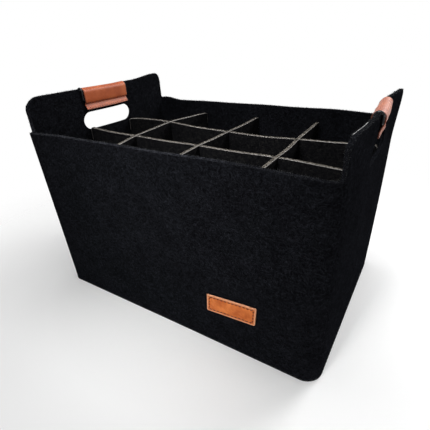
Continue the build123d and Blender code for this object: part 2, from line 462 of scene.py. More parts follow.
# Half length, half width and corner radius of the band's outside at a height; each grows in line with it
def planSizes(height):
    low = np.minimum(height, band["rimHeight"])
    halfLength = halfLengthTop - band["endFlare"] * (1 - height / endHeight)
    halfWidth = halfWidthRim - band["sideFlare"] * (1 - low / band["rimHeight"])
    radius = band["footRadius"] + (band["rimRadius"] - band["footRadius"]) * low / band["rimHeight"]
    return halfLength, halfWidth, radius


def footShare(nx, ny):  # how much of the foot's spread a wall takes: most at the right end, none at the back
    front = softness["spreadAtFront"]
    first, last = softness["spreadFades"]
    return (front + (1 - front) * nx) * np.clip((last - ny) / (last - first), 0, 1)


# How far the soft wall leans out of its flat shape: a bow that is widest half way up and along, a slow
# ripple, and a shallow dent along the closing seam at the back. The front's left corner is softer than the
# others, the right end bows towards the back, and the foot has spread at the right.
def softPush(column, height):
    ax, ay, nx, ny = column
    how = softness
    side = (1 - ax ** 2) * ny ** 2
    end = (1 - ay ** 2) * nx ** 2
    up = np.sin(math.pi * np.clip(height / band["rimHeight"], 0, 1))
    push = how["frontBow"] * side * up + how["endBow"] * end * up
    push = push + how["backRightBow"] * (ax > 0.99) * np.clip(ay, 0, 1) ** 2 * nx ** 2 * up
    long = np.sin(how["longWave"] * ax + how["faceTurn"] * ny + height / how["longRise"])
    short = np.sin(how["shortWave"] * ax - height / how["shortRise"] + how["shortTurn"])
    push = push + how["ripple"] * side * (long + how["shortShare"] * short) * up
    fromSeam = ax * (halfLengthTop - band["rimRadius"]) / how["seamWidth"]
    push = push - how["seamDent"] * np.exp(-fromSeam ** 2) * (ny > 0.5)
    pull = easeBetween(height, (0, how["pullGrowsTo"]), (how["cornerPullAtFoot"], how["cornerPull"]))
    push = push - pull * 4 * nx ** 2 * ny ** 2 * (nx < 0) * (ny < 0)  # whole in the corner's middle
    spread = np.clip((ax - how["spreadFrom"]) / (1 - how["spreadFrom"]), 0, 1) * footShare(nx, ny)
    return push + how["footSpread"] * spread * np.clip(1 - height / how["spreadTop"], 0, 1)


# Point on the wall at a height and at a depth from its outside. A column is (ax, ay, nx, ny): where its
# corner centre lies, as a share of the straight half sides, and which way the wall faces there.
def wallPoint(column, height, depth):
    ax, ay, nx, ny = column
    halfLength, halfWidth, radius = planSizes(height)
    reach = radius - depth + softPush(column, height)
    x = ax * (halfLength - radius) + nx * reach
    y = ay * (halfWidth - radius) + ny * reach
    return np.stack([x, y, np.broadcast_to(height, x.shape)], -1)


def wallNormal(column, height):  # outward unit normal of the leaning wall
    nx, ny = column[2], column[3]
    lean = np.abs(nx) * band["endFlare"] / endHeight + np.abs(ny) * band["sideFlare"] / band["rimHeight"]
    lean = np.broadcast_to(lean, np.broadcast(nx, height).shape)
    return unit(np.stack([np.broadcast_to(nx, lean.shape), np.broadcast_to(ny, lean.shape), -lean], -1))


# Where the band's upright lines stand closer together: turns in degrees round the slots' ends and the
# shoulders, and places in mm from the slot's straight part, from the notch's edge and from the closing seam
closeLines = dict(
    slotTurns=(0, 15, 28, 40, 52, 63, 73, 81, 86, 90), shoulderTurns=(10, 20, 30, 40, 48),
    beforeSlot=6, pastSlot=(14.5, 16), notchStep=0.1, openFrom=56, cornerLeft=0.5, crotchStep=0.015,
    besideSeam=(0.8, 1.6, 3, 6), seamToCorner=180, alongSide=49,
)


# All upright lines of the band, anticlockwise from the front's left end, closer together where the outline
# turns: at the slots' round ends, the pads' notches, the shoulders and the corners
def bandColumns():
    how = closeLines
    radius = band["rimRadius"]
    straight = halfWidthRim - radius
    raised = halfWidthRim - band["shoulderInset"]
    widthAtSlot, radiusAtSlot = planSizes(band["slotMiddle"])[1:]
    slotTurn = np.sin(np.radians(how["slotTurns"]))
    slotRound = (band["slotHeight"] / 2 + band["edgeBulge"]) * slotTurn
    slotStart = band["slotLength"] / 2 - band["slotHeight"] / 2
    inPlane = straight / (widthAtSlot - radiusAtSlot)  # walls lean, so a column's place grows with height
    shoulderTurn = np.sin(np.radians(how["shoulderTurns"]))
    half = np.concatenate([
        np.linspace(0, slotStart - how["beforeSlot"], 6), (slotStart + slotRound) * inPlane,
        [band["notchHalf"] - how["notchStep"], band["notchHalf"] + how["notchStep"]],
        [slotStart + past for past in how["pastSlot"]],
        np.linspace(how["openFrom"], raised - band["shoulderRadius"], 8),
        raised - band["shoulderRadius"] * (1 - shoulderTurn),
    ])
    half = np.unique(half[half < straight - how["cornerLeft"]])
    endY = np.concatenate([-half[::-1], half[1:]]) / straight
    atRaised = math.asin((raised - straight) / radius)
    atCrotch = math.asin((raised + band["crotchRadius"] - straight) / radius)
    turn = np.concatenate([
        np.linspace(0, atRaised, 6), np.linspace(atRaised + how["crotchStep"], atCrotch, 7),
        np.linspace(atCrotch, math.pi / 2, 7)[1:],
    ])
    beside = np.array(how["besideSeam"]) / how["seamToCorner"]
    sideX = np.unique(np.concatenate([np.linspace(-1, 1, how["alongSide"])[1:-1], beside, -beside]))
    ones = np.ones_like
    parts = [
        (sideX, -ones(sideX), 0 * sideX, -ones(sideX)),
        (ones(turn), -ones(turn), np.cos(turn)[::-1], -np.sin(turn)[::-1]),
        (ones(endY), endY, ones(endY), 0 * endY),
        (ones(turn), ones(turn), np.cos(turn), np.sin(turn)),
        (-sideX, ones(sideX), 0 * sideX, ones(sideX)),
        (-ones(turn), ones(turn), -np.cos(turn)[::-1], np.sin(turn)[::-1]),
        (-ones(endY), -endY, -ones(endY), 0 * endY),
        (-ones(turn), -ones(turn), -np.cos(turn), -np.sin(turn)),
    ]
    return tuple(np.concatenate([part[i] for part in parts]) for i in range(4))


# Height of the band's upper edge: the rim, a quarter round up to a raised end, its straight rise, its round
# shoulder, and the notch that the grip's pad fills. The rim ripples and sags a little, more at the back, and
# it droops towards the front corners and the back right one.
def topHeight(column):
    at = wallPoint(column, np.array(band["rimHeight"]), 0)
    y = np.abs(at[..., 1])
    raised = halfWidthRim - band["shoulderInset"]
    crotch = band["crotchRadius"]
    nearRight = (column[0] > 0.99) & (at[..., 1] < 0)
    farLeft = (column[0] < -0.99) & (at[..., 1] > 0)
    shoulder = np.where(nearRight, band["nearRightShoulder"], band["shoulderRadius"])
    shoulder = np.where(farLeft, band["farLeftShoulder"], shoulder)
    intoCrotch = np.clip(raised + crotch - y, 0, crotch)
    low = band["rimHeight"] + crotch - np.sqrt(crotch ** 2 - intoCrotch ** 2)
    intoShoulder = np.clip(y - (raised - shoulder), 0, shoulder)
    high = endHeight - shoulder + np.sqrt(shoulder ** 2 - intoShoulder ** 2)
    high = np.where(y < band["notchHalf"], endHeight - band["notchDepth"], high)
    ax, ny = column[0], column[3]
    how = softness
    atBack = at[..., 1] > 0
    wavy = how["rimRipple"] * (1 - ax ** 2) * np.abs(ny)
    wavy = wavy * np.sin(how["rimWave"] * ax + how["rimFaceTurn"] * ny)
    wavy = wavy * np.sin(how["rimSlowWave"] * ax + how["rimTurn"]) - how["rimSag"] - how["backSag"] * atBack
    towardsCorner = np.clip((np.abs(ax) - how["droopsFrom"]) / (1 - how["droopsFrom"]), 0, 1)
    backDroop = (how["backRightDroop"] - how["backSag"]) * (ax > 0)
    droop = towardsCorner ** how["droopPower"] * np.where(atBack, backDroop, how["frontDroop"])
    return np.where(y > raised + 0.05, low + wavy - droop, high)


# Half height of the hand slot at each column: a straight slot with round ends, grown by the edge's bulge
def slotOpening(column):
    at = wallPoint(column, np.array(band["slotMiddle"]), 0)
    radius = band["slotHeight"] / 2 + band["edgeBulge"]
    past = np.clip(np.abs(at[..., 1]) - (band["slotLength"] - band["slotHeight"]) / 2, 0, radius)
    opening = np.sqrt(np.maximum(radius ** 2 - past ** 2, 0))
    return np.where(np.abs(column[2]) > 0.999, opening, 0)


columns = bandColumns()
opening = slotOpening(columns)
top = topHeight(columns) - band["edgeBulge"]
# Shares of the way up to the slots and on to the top, closer together at their ends
lowerRise = np.concatenate([[0, 0.004, 0.012], np.linspace(0.03, 0.97, 24), [0.985, 0.996, 1]])[:, None]
upperRise = np.concatenate([[0, 0.04, 0.12], np.linspace(0.25, 0.8, 5), [0.92, 0.98, 1]])[:, None]
foot = band["edgeBulge"]
lowerHeights = foot + (band["slotMiddle"] - opening - foot) * lowerRise
upperHeights = band["slotMiddle"] + opening + (top - band["slotMiddle"] - opening) * upperRise
heights = np.concatenate([lowerHeights, upperHeights])
bandMiddle = settle(wallPoint(columns, heights, band["thickness"] / 2))
bandNormal = wallNormal(columns, heights)
rowCount, columnCount = heights.shape
slotRow = len(lowerRise) - 1
inSlot = np.flatnonzero(opening > 0)
slotGroups = np.split(inSlot, np.flatnonzero(np.diff(inSlot) > 1) + 1)
bandTop = [(rowCount - 1, c) for c in range(columnCount)]
bandFoot = [(0, c) for c in range(columnCount - 1, -1, -1)]
slotLoops = []
for group in slotGroups:
    wide = range(group[0] - 1, group[-1] + 2)
    slotLoops.append([(slotRow, c) for c in wide] + [(slotRow + 1, c) for c in reversed(group.tolist())])
bandPoints, bandFaces, bandTags = thickSheet(
    bandMiddle, bandNormal, band["thickness"], band["edgeBulge"], [bandTop, bandFoot] + slotLoops,
    closed=True, skipAfter=[slotRow],
)

# How much of the ragged lighter edge colour the band's upper edge gets, by place along the front rim, and
# elsewhere: a painted highlight for loose fibres catching the light. A stretch of the right end's edge, in
# mm about a place along the wall, is painted near white: a painted highlight on its hot-cut, slightly glossy
# edge.
paintedEdgeLight = dict(
    places=(-190, -120, 40, 140), shares=(0.5, 1.0, 0.9, 0.2), backRim=0.35, ends=0.1, topOfFace=0.6,
    shinyMiddle=-95, shinyHalf=20, shinyAbove=12, shinySteps=(6, 7),
)
faceCentre = bandPoints[bandFaces].mean(1)
# Faces of the right end's stretch of edge, painted near white as a painted highlight
paintedHighlight = np.isin(bandTags, paintedEdgeLight["shinySteps"]) & (faceCentre[:, 2] > band["rimHeight"] + paintedEdgeLight["shinyAbove"])
paintedHighlight &= (faceCentre[:, 0] > 0) & (np.abs(faceCentre[:, 1] - paintedEdgeLight["shinyMiddle"]) < paintedEdgeLight["shinyHalf"])


def edgeLightShare(column):  # eased along the front rim, and level elsewhere
    at = wallPoint(column, np.array(band["rimHeight"]), 0)
    along = easeBetween(at[..., 0], paintedEdgeLight["places"], paintedEdgeLight["shares"])
    onRim = np.abs(at[..., 1]) > halfWidthRim - band["shoulderInset"]
    return np.where(onRim, np.where(at[..., 1] < 0, along, paintedEdgeLight["backRim"]), paintedEdgeLight["ends"])


# The cut edge and the top of each face take the painted highlight, by those shares
sideShare = np.zeros((2, rowCount, columnCount))  # the cut edge is lighter, and so is the top of each face
sideShare[:, -1] = paintedEdgeLight["topOfFace"] * edgeLightShare(columns)
stripPoints = 9  # from face to face over the edge, one more than thickSheet's steps
topStrip = np.tile(edgeLightShare(columns), stripPoints)
otherStrips = np.zeros(len(bandPoints) - sideShare.size - topStrip.size)
feltBand = makePiece("feltBand", bandPoints, bandFaces, [feltMaterial, bandHighlightMaterial], paintedHighlight.astype(int),
                     np.concatenate([sideShare.ravel(), topStrip, otherStrips]))
finishPiece(feltBand, "felt", "side_band")
print("band made", len(bandFaces))


# Divider grid

dividers = dict(
    thickness=4.0, wallGap=0.4, edgeBulge=0.7, bead=0.3, lapWidth=4.6, lapGap=0.2, lapEdge=0.05,
    cornerRadius=3.0, sway=0.8, swayVaries=0.3, topSag=0.7, footShare=0.25, shinyDepth=12,
    upright=61, level=15, endLines=(0.3, 0.8, 1.6, 3.0),
)
# How the soft grid has been pushed about in use, in mm: to the side and up, from end to end through the
# crossings. The foot of a divider takes footShare of its move to the side.
aside = dict(
    long_divider_front=(6, 2, 1, -1.3, -6), long_divider_back=(0, 1, -5, -5, -1),
    cross_divider_left=(11, -5, -12, -2), cross_divider_centre=(3, 3, -1, 0),
    cross_divider_right=(10, 9.7, 4, 1),
)
lifted = dict(
    long_divider_front=(3.8, 1.3, 0.1, -0.2, -3.6), long_divider_back=(0.5, 2.1, -1.6, -1.6, 0),
    cross_divider_left=(-2.6, 1.3, 2.1, 0), cross_divider_centre=(-0.3, 0.1, -1.6, 0),
    cross_divider_right=(-0.9, -0.2, -1.6, 0),
)


def dividerHalf(alongX, height):  # half length of a divider at a height, from the band's inside there
    halfLength, halfWidth, _ = planSizes(height)
    half = halfLength if alongX else halfWidth
    return half - band["thickness"] - dividers["wallGap"] - dividers["edgeBulge"]


def smoothThrough(at, stops, values):  # the curve of lowest degree through the values at the stops
    return np.polynomial.Polynomial.fit(stops, values, len(stops) - 1)(at)


# A felt strip that sways a little between the strips that it crosses: the sway is a half sine from crossing
# to crossing, alternately to either side, and its top edge sags by the square of it. Where a crossing strip
# is pushed aside, the notch for it goes along: crossers are their names, and row is which crossing of theirs
# it is.
def makeDivider(name, alongX, crossings, crossers, row, openAtTop, phase):
    low, high = boxOf(name)
    place = (low + high)[1 if alongX else 0] / 2
    topZ, footZ = high[2], low[2]
    middleZ = (topZ + footZ) / 2
    lap = dividers["lapWidth"] / 2 + dividers["edgeBulge"]
    tight = dividers["lapEdge"]
    end = dividerHalf(alongX, topZ)
    along = np.concatenate(
        [np.linspace(-end, end, dividers["upright"])]
        + [[c - lap - tight, c - lap + tight, c, c + lap - tight, c + lap + tight] for c in crossings]
        + [[s * (end - d) for d in dividers["endLines"]] for s in (-1, 1)])
    along = np.unique(along.round(3))
    stops = np.concatenate([[-end], crossings, [end]])
    bay = np.clip(np.searchsorted(stops, along) - 1, 0, len(stops) - 2)
    share = (along - stops[bay]) / (stops[bay + 1] - stops[bay])
    varies = dividers["swayVaries"]
    swell = np.sin(math.pi * share) * np.where((bay + phase) % 2, 1, -1)
    swell = swell * (1 - varies + varies * np.sin(bay * 2.1 + phase))
    inLap = np.min(np.abs(along[:, None] - np.array(crossings)[None]), axis=1) < lap
    radius = dividers["cornerRadius"]
    fromEnd = np.clip(end - np.abs(along), 0, radius)
    cornerDrop = radius - np.sqrt(radius ** 2 - (radius - fromEnd) ** 2)
    upper = topZ - dividers["edgeBulge"] - cornerDrop - dividers["topSag"] * np.sin(math.pi * share) ** 2
    upper = upper + smoothThrough(along, stops, lifted[name])
    lower = np.full_like(along, footZ + dividers["edgeBulge"])
    if openAtTop:
        upper = np.where(inLap, middleZ - dividers["lapGap"] - dividers["edgeBulge"], upper)
    else:
        lower = np.where(inLap, middleZ + dividers["lapGap"] + dividers["edgeBulge"], lower)
    z = lower + (upper - lower) * np.linspace(0, 1, dividers["level"])[:, None]
    spread = dividerHalf(alongX, z) / end
    pushed = dividers["footShare"] + (1 - dividers["footShare"]) * (z - footZ) / (topZ - footZ)
    sway = place + (dividers["sway"] * swell + smoothThrough(along, stops, aside[name])) * pushed
    notchMoves = [0] + [aside[crosser][row] for crosser in crossers] + [0]
    lengthwise = along * spread + smoothThrough(along, stops, notchMoves) * pushed
    if alongX:
        middle = np.stack([lengthwise, sway, z], -1)
        normal = np.broadcast_to([0.0, -1.0, 0.0], middle.shape)
    else:
        middle = np.stack([sway, lengthwise, z], -1)
        normal = np.broadcast_to([1.0, 0.0, 0.0], middle.shape)
    points, faces, tags = thickSheet(
        middle, normal, dividers["thickness"], dividers["edgeBulge"], [sheetLoop(*z.shape)],
        bead=dividers["bead"],
    )
    centre = points[faces].mean(1)
    onTop = (centre[:, 2] > topZ - dividers["shinyDepth"]) & (tags > 0)
    # The beaded steps at both corners of the top edge are painted light grey: a painted highlight on their
    # slight gloss
    paintedHighlight = onTop & np.isin(tags, (1, 2, 7, 8))  # the steps at both corners of the edge
    cutEdge = np.zeros(len(points))
    cutEdge[np.unique(faces[onTop & ~paintedHighlight])] = 1.0
    words = name.split("_")
    title = words[0] + "".join(word.capitalize() for word in words[1:])
    looks = [dividerMaterial, sealedHighlightMaterial]
    finishPiece(makePiece(title, points, faces, looks, paintedHighlight.astype(int), cutEdge), "divider_felt", name)


longNames = ["long_divider_front", "long_divider_back"]
crossNames = ["cross_divider_left", "cross_divider_centre", "cross_divider_right"]
longPlaces = [sum(boxOf(name)[i][1] for i in (0, 1)) / 2 for name in longNames]
crossPlaces = [sum(boxOf(name)[i][0] for i in (0, 1)) / 2 for name in crossNames]
for number, name in enumerate(longNames):
    makeDivider(name, True, crossPlaces, crossNames, number + 1, True, number)
for number, name in enumerate(crossNames):
    makeDivider(name, False, longPlaces, longNames, number + 1, False, number)
print("dividers made")


# Bottom

bottom = dict(cornerRadius=11.0, edgeBulge=0.8, cornerSteps=10, rings=9)


# A flat rounded plate with soft edges: rings that grow from a pole in the middle to its rounded outline,
# which gives way to the band's softer corner and follows the spread foot
def makeBottom():
    low, high = boxOf("base_panel")
    steps, rings, radius = bottom["cornerSteps"], bottom["rings"], bottom["cornerRadius"]
    turn = np.linspace(0, math.pi / 2, steps)
    angle = np.concatenate([turn + k * math.pi / 2 for k in range(4)])
    sx = np.repeat([1, -1, -1, 1], steps)
    sy = np.repeat([1, 1, -1, -1], steps)
    softCorner = (sx < 0) & (sy < 0)
    r = radius - bottom["edgeBulge"] - softness["cornerPullAtFoot"] * np.sin(2 * angle) ** 2 * softCorner
    r = r + softness["footSpread"] * footShare(np.cos(angle), np.sin(angle)) * (sx > 0)
    x = sx * (high[0] - radius) + r * np.cos(angle)
    y = sy * (high[1] - radius) + r * np.sin(angle)
    grow = np.linspace(0, 1, rings)[:, None]
    middle = np.stack([x * grow, y * grow, np.full((rings, len(x)), (low[2] + high[2]) / 2)], -1)
    normal = np.broadcast_to([0.0, 0.0, -1.0], middle.shape)
    loop = [(rings - 1, c) for c in range(len(x))]
    sheet = thickSheet(middle, normal, high[2] - low[2], bottom["edgeBulge"], [loop], closed=True)
    finishPiece(makePiece("feltBottom", *sheet[:2], [feltMaterial]), "felt", "base_panel")


makeBottom()
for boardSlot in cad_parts["base_board"].material_slots:
    boardSlot.material = hardboardMaterial
print("bottom made")


# Stitches

# One object of many stitches: each is a long bead, sin(v) ** 0.6 wide at v along it and flattened to 0.8,
# sunk a little into what it sews
def stitchRow(name, places, tangents, normals, length, width, material, slotName, sink=0.35):
    v = np.linspace(0, math.pi, 6)
    u = np.linspace(0, 2 * math.pi, 7)[:-1]
    alongBead = -np.cos(v) * length / 2
    girth = np.sin(v) ** 0.6 * width / 2
    sideways = unit(np.cross(normals, tangents))
    centre = places + normals * (width / 2 - sink)
    ring = (centre[:, None, None] + tangents[:, None, None] * alongBead[None, :, None, None]
            + sideways[:, None, None] * (girth[:, None] * np.cos(u))[None, :, :, None]
            + normals[:, None, None] * (0.8 * girth[:, None] * np.sin(u))[None, :, :, None])
    one = gridFaces(len(v), len(u), True)[:, ::-1]
    faces = (one[None] + (np.arange(len(places)) * len(v) * len(u))[:, None, None]).reshape(-1, 4)
    piece = makePiece(name, ring.reshape(-1, 3), faces, [material], weld=0.001)
    return finishPiece(piece, slotName)


seam = dict(offset=4.5, length=3.8, gap=1.9, width=0.9, low=9.0, high=219.0)
seamZ = np.arange(seam["low"], seam["high"], seam["length"] + seam["gap"])
seamPlaces, seamTangents, seamNormals = [], [], []
for sign in (-1, 1):
    share = sign * seam["offset"] / (halfLengthTop - band["rimRadius"])
    seamColumn = tuple(np.full_like(seamZ, value) for value in (share, 1.0, 0.0, 1.0))
    seamPlaces.append(wallPoint(seamColumn, seamZ, 0))
    seamNormals.append(wallNormal(seamColumn, seamZ))
    seamTangents.append(unit(np.gradient(seamPlaces[-1], axis=0)))
stitchRow("backSeamStitches", *map(np.concatenate, (seamPlaces, seamTangents, seamNormals)),
          seam["length"], seam["width"], blackThreadMaterial, "felt")


footStitch = dict(height=2.2, length=3.8, pitch=5.6, width=0.8, roundShare=0.97)


def footColumns(count):  # columns that are evenly spaced round the band's foot
    fine = bandColumns()
    run = roundRun(wallPoint(fine, np.array(footStitch["height"]), 0))
    wanted = np.linspace(0, run[-1], count, endpoint=False)
    ax, ay, nx, ny = sampledRound(wanted, run, np.stack(fine, -1)).T
    size = np.hypot(nx, ny)
    return ax, ay, nx / size, ny / size


footCount = int(4 * (halfLengthTop + halfWidthRim) / footStitch["pitch"] * footStitch["roundShare"])
footRing = footColumns(footCount)
footHeights = np.full(footCount, footStitch["height"])
footPlaces = wallPoint(footRing, footHeights, 0)
footNormals = wallNormal(footRing, footHeights)
stitchRow("footStitches", footPlaces, roundTangents(footPlaces), footNormals, footStitch["length"],
          footStitch["width"], blackThreadMaterial, "felt")
print("seams made")


# Grips

grip = dict(
    leatherLength=80.0, padLength=86.0, padFelt=3.0, leather=1.2, rise=1.0, gap=0.1,
    flangeDrop=28.5, leatherEdge=0.5, darkEdge=0.8, wrinkle=0.14, nubLift=2.2, nubLength=6,
    squeezedOver=(0, 40), padFade=3, meltedEnd=0.5, fineRipple=0.6,
    rippleSpans=(5.3, 13.7, 3.1, 4),  # mm for one radian: two along the roll, then the fine one along and up
    stitchInset=2.6, stitchLength=3.0, stitchPitch=4.4, stitchWidth=0.8, stitchFromEnd=3,
)
# Each grip has been pulled into a shape of its own, in mm: where the crease lies below the wall's top, how
# high the bend from there to the roll is, where the pad ends, how far the flange stands off at places along
# the grip, and the share by which the roll is squeezed outwards at its back end
gripShape = dict(
    left=dict(crease=-19.8, ease=3.4, padFoot=-15.2, along=(-40, 40), flare=(3.4, 3.4), squeeze=0),
    right=dict(
        crease=-22.5, ease=13.0, padFoot=-12.0, along=(-40, -16, 0, 25, 40), flare=(0.2, 0.6, 1.2, 0.9, 0.4),
        squeeze=0.1,
    ),
)
wallHalf = band["thickness"] / 2
hug = wallHalf + grip["gap"]
belly = wallHalf + grip["padFelt"] + 2 * grip["gap"]
crown = grip["rise"] - grip["leather"] - belly
lean = band["endFlare"] / endHeight


# Half section of a grip's layer, grown by out from the leather's inside: up along the wall, an S bend out to
# the roll over the height ease above the crease, then a quarter round over the top. The pad has no bend.
def gripProfile(out, lowest, crease, ease):
    easeTop = crease + ease
    if ease:
        up = np.concatenate([np.linspace(lowest, crease, 6)[:-1], np.linspace(crease, easeTop, 10)])
        swell = easeBetween(up, (crease, easeTop), (0, 1))
    else:
        up = np.linspace(lowest, easeTop, 4)
        swell = np.ones_like(up)
    wide = hug + (belly - hug) * swell + out
    climb = np.linspace(easeTop, crown, 4)[1:]
    turn = np.linspace(0, math.pi / 2, 9)[1:]
    x = np.concatenate([wide, np.full(3, belly + out), (belly + out) * np.cos(turn)])
    z = np.concatenate([up, climb, crown + (belly + out) * np.sin(turn)])
    return x, z


# Middle surface of a layer of a grip, as places across the wall, up it and along it. Rows run along the
# wall, and columns go from the inside's lower edge over the top to the outside's.
def gripSheet(out, lowest, crease, ease, halfLength, rows):
    x, z = gripProfile(out, lowest, crease, ease)
    across = np.concatenate([-x, x[-2::-1]])
    up = np.concatenate([z, z[-2::-1]])
    y = np.linspace(-halfLength, halfLength, rows)[:, None]
    across = np.broadcast_to(across, (rows, len(across))).copy()
    up = np.broadcast_to(up, across.shape).copy()
    y = np.broadcast_to(y, across.shape).copy()
    return across, up, y


# From places across the leaning end wall, up it and along it to points; the wall's top is up = 0
def gripPoints(side, across, up, y):
    x = side * (halfLengthTop - wallHalf + across + lean * up)
    return settle(np.stack([x, side * y, endHeight + up - lean * across], -1))


def squeezed(across, y, amount):  # towards the outside of the roll, more to its back end
    outside = belly + grip["leather"]
    return outside - (outside - across) * (1 - amount * easeBetween(y, grip["squeezedOver"], (0, 1)))


def gridNormals(points):  # unit normals of a grid of points, from its central differences
    return unit(np.cross(np.gradient(points, axis=1), np.gradient(points, axis=0)))


# Both layers of a grip and its stitches. The pad's near end swells upwards as the square of the way into it.
# The flange stands off in line with the way down from the crease. The leather ripples over the roll, as a
# product of two sines with a third one over it.
def makeGrip(word, side):
    shape = gripShape[word]

    # the pad: felt folded over the wall, with melted ends
    half = grip["padLength"] / 2 - grip["padFelt"] / 2
    foot = shape["padFoot"]
    across, up, y = gripSheet(-grip["gap"] - grip["padFelt"] / 2, foot, foot + grip["padFade"], 0, half, 41)
    nearEnd = np.clip((-side * y - (half - grip["nubLength"])) / grip["nubLength"], 0, 1)
    up += grip["nubLift"] * nearEnd ** 2 * np.clip((up - crown) / belly + 0.4, 0, 1)
    middle = gripPoints(side, squeezed(across, side * y, shape["squeeze"]), up, y)
    points, faces, tags = thickSheet(middle, gridNormals(middle), grip["padFelt"], grip["padFelt"] / 2 - 0.1,
                                     [sheetLoop(*y.shape)], square=1.0)
    melted = np.abs(points[faces].mean(1)[:, 1]) > half - grip["meltedEnd"]
    pad = makePiece(word + "GripPad", points, faces, [padMaterial, nubMaterial], melted.astype(int))
    finishPiece(pad, "pad_felt", word + "_grip_pad")

    # the leather: wrapped over the pad, with its flanges standing off the wall a little
    half = grip["leatherLength"] / 2 - grip["leatherEdge"]
    lowest = grip["leatherEdge"] - grip["flangeDrop"]
    across, up, y = gripSheet(grip["leather"] / 2, lowest, shape["crease"], shape["ease"], half, 81)
    depth = np.clip((shape["crease"] + 1 - up) / (shape["crease"] + 1 - lowest), 0, 1)
    across += np.sign(across) * depth * easeBetween(side * y, shape["along"], shape["flare"])
    roll = easeBetween(up, (shape["crease"], shape["crease"] + shape["ease"]), (0, 1))
    short, long, fine, fineUp = grip["rippleSpans"]
    ripple = np.sin(y / short + 1.3 * across / belly + side) * np.sin(y / long + 0.4)
    ripple += grip["fineRipple"] * np.sin(y / fine + up / fineUp)
    across += np.sign(across) * grip["wrinkle"] * ripple * roll * np.clip(np.abs(across) / belly, 0, 1)
    middle = gripPoints(side, squeezed(across, side * y, shape["squeeze"] * roll), up, y)
    normal = gridNormals(middle)
    points, faces, tags = thickSheet(middle, normal, grip["leather"], grip["leatherEdge"],
                                     [sheetLoop(*y.shape)], steps=6)
    cutEdge = np.zeros(len(points))
    # Painted shade: the whole cut edge of the grip leather is darkened
    cutEdge[np.unique(faces[tags > 0])] = grip["darkEdge"]
    leather = makePiece(word + "GripLeather", points, faces, [gripLeatherMaterial], cutEdge=cutEdge)
    finishPiece(leather, "grip_leather", word + "_grip_leather")

    # the stitches along both flanges
    places, tangents, normals = [], [], []
    rowY = y[:, 0]
    stitchY = np.arange(grip["stitchFromEnd"] - half, half - grip["stitchFromEnd"] + 1, grip["stitchPitch"])
    target = grip["stitchInset"] - grip["flangeDrop"]
    nearest = np.argmin(np.abs(up[0, :10] - target))
    for column in (nearest, -1 - nearest):
        face = middle[:, column] + normal[:, column] * grip["leather"] / 2
        places.append(sampled(stitchY, rowY, face))
        normals.append(unit(sampled(stitchY, rowY, normal[:, column])))
        tangents.append(unit(np.gradient(places[-1], axis=0)))
    stitchRow(word + "GripStitches", *map(np.concatenate, (places, tangents, normals)),
              grip["stitchLength"], grip["stitchWidth"], tanThreadMaterial, "grip_leather")


for word, side in (("left", -1), ("right", 1)):
    makeGrip(word, side)
print("grips made")


# Patch

patch = dict(
    length=58.6, height=23.6, thickness=1.6, cornerRadius=1.2, askew=4.0, skew=8.0, edge=0.5,
    paleRim=1.3, palest=0.85, shiftX=0.3, shiftZ=1.2,
    stitchInset=3.0, stitchLength=3.0, stitchWidth=1.25, stitchSink=0.3, alongCount=12, upCount=4,
    pull=0.45, pullWidth=0.9, ringInsets=(5.5, 4.6, 3.8, 3.0, 2.3, 1.7, 1.2, 0.8, 0.4, 0.0), paleShift=1.15,
)
patchMiddle = sum(boxOf("front_patch")) / 2


# From places along and up the patch to points: it is turned by askew and sheared by skew, and it lies on the
# front wall
def patchPoint(u, v, off):
    turn = math.radians(patch["askew"])
    across = u + v * math.tan(math.radians(patch["skew"]))
    x = patchMiddle[0] + patch["shiftX"] + across * math.cos(turn) - v * math.sin(turn)
    z = patchMiddle[2] + patch["shiftZ"] + u * math.sin(turn) + v * math.cos(turn)
    column = (x / (halfLengthTop - band["rimRadius"]), -np.ones_like(x), np.zeros_like(x), -np.ones_like(x))
    wall = wallPoint(column, z, 0)
    wall[..., 0] = x
    normal = wallNormal(column, z)
    return wall + normal * np.asarray(off)[..., None], normal


# The patch's outline: four quarter rounds, each followed by the straight run to the next, then all of it
# turned round to run clockwise
def patchOutline(halfU, halfV, radius):
    turn = np.linspace(0, math.pi / 2, 5)
    corners = [(1, 1), (-1, 1), (-1, -1), (1, -1)]
    runs = []
    for quarter, (sx, sy) in enumerate(corners):
        angle = turn + quarter * math.pi / 2
        centre = np.array([sx * (halfU - radius), sy * (halfV - radius)])
        arc = centre + radius * np.stack([np.cos(angle), np.sin(angle)], 1)
        nextX, nextY = corners[(quarter + 1) % 4]
        nextCentre = np.array([nextX * (halfU - radius), nextY * (halfV - radius)])
        nextStart = nextCentre + radius * np.array([math.cos(angle[-1]), math.sin(angle[-1])])
        share = np.linspace(0, 1, 22 if quarter % 2 == 0 else 10)[1:-1, None]
        runs += [arc, arc[-1] + (nextStart - arc[-1]) * share]
    return np.concatenate(runs)[::-1]


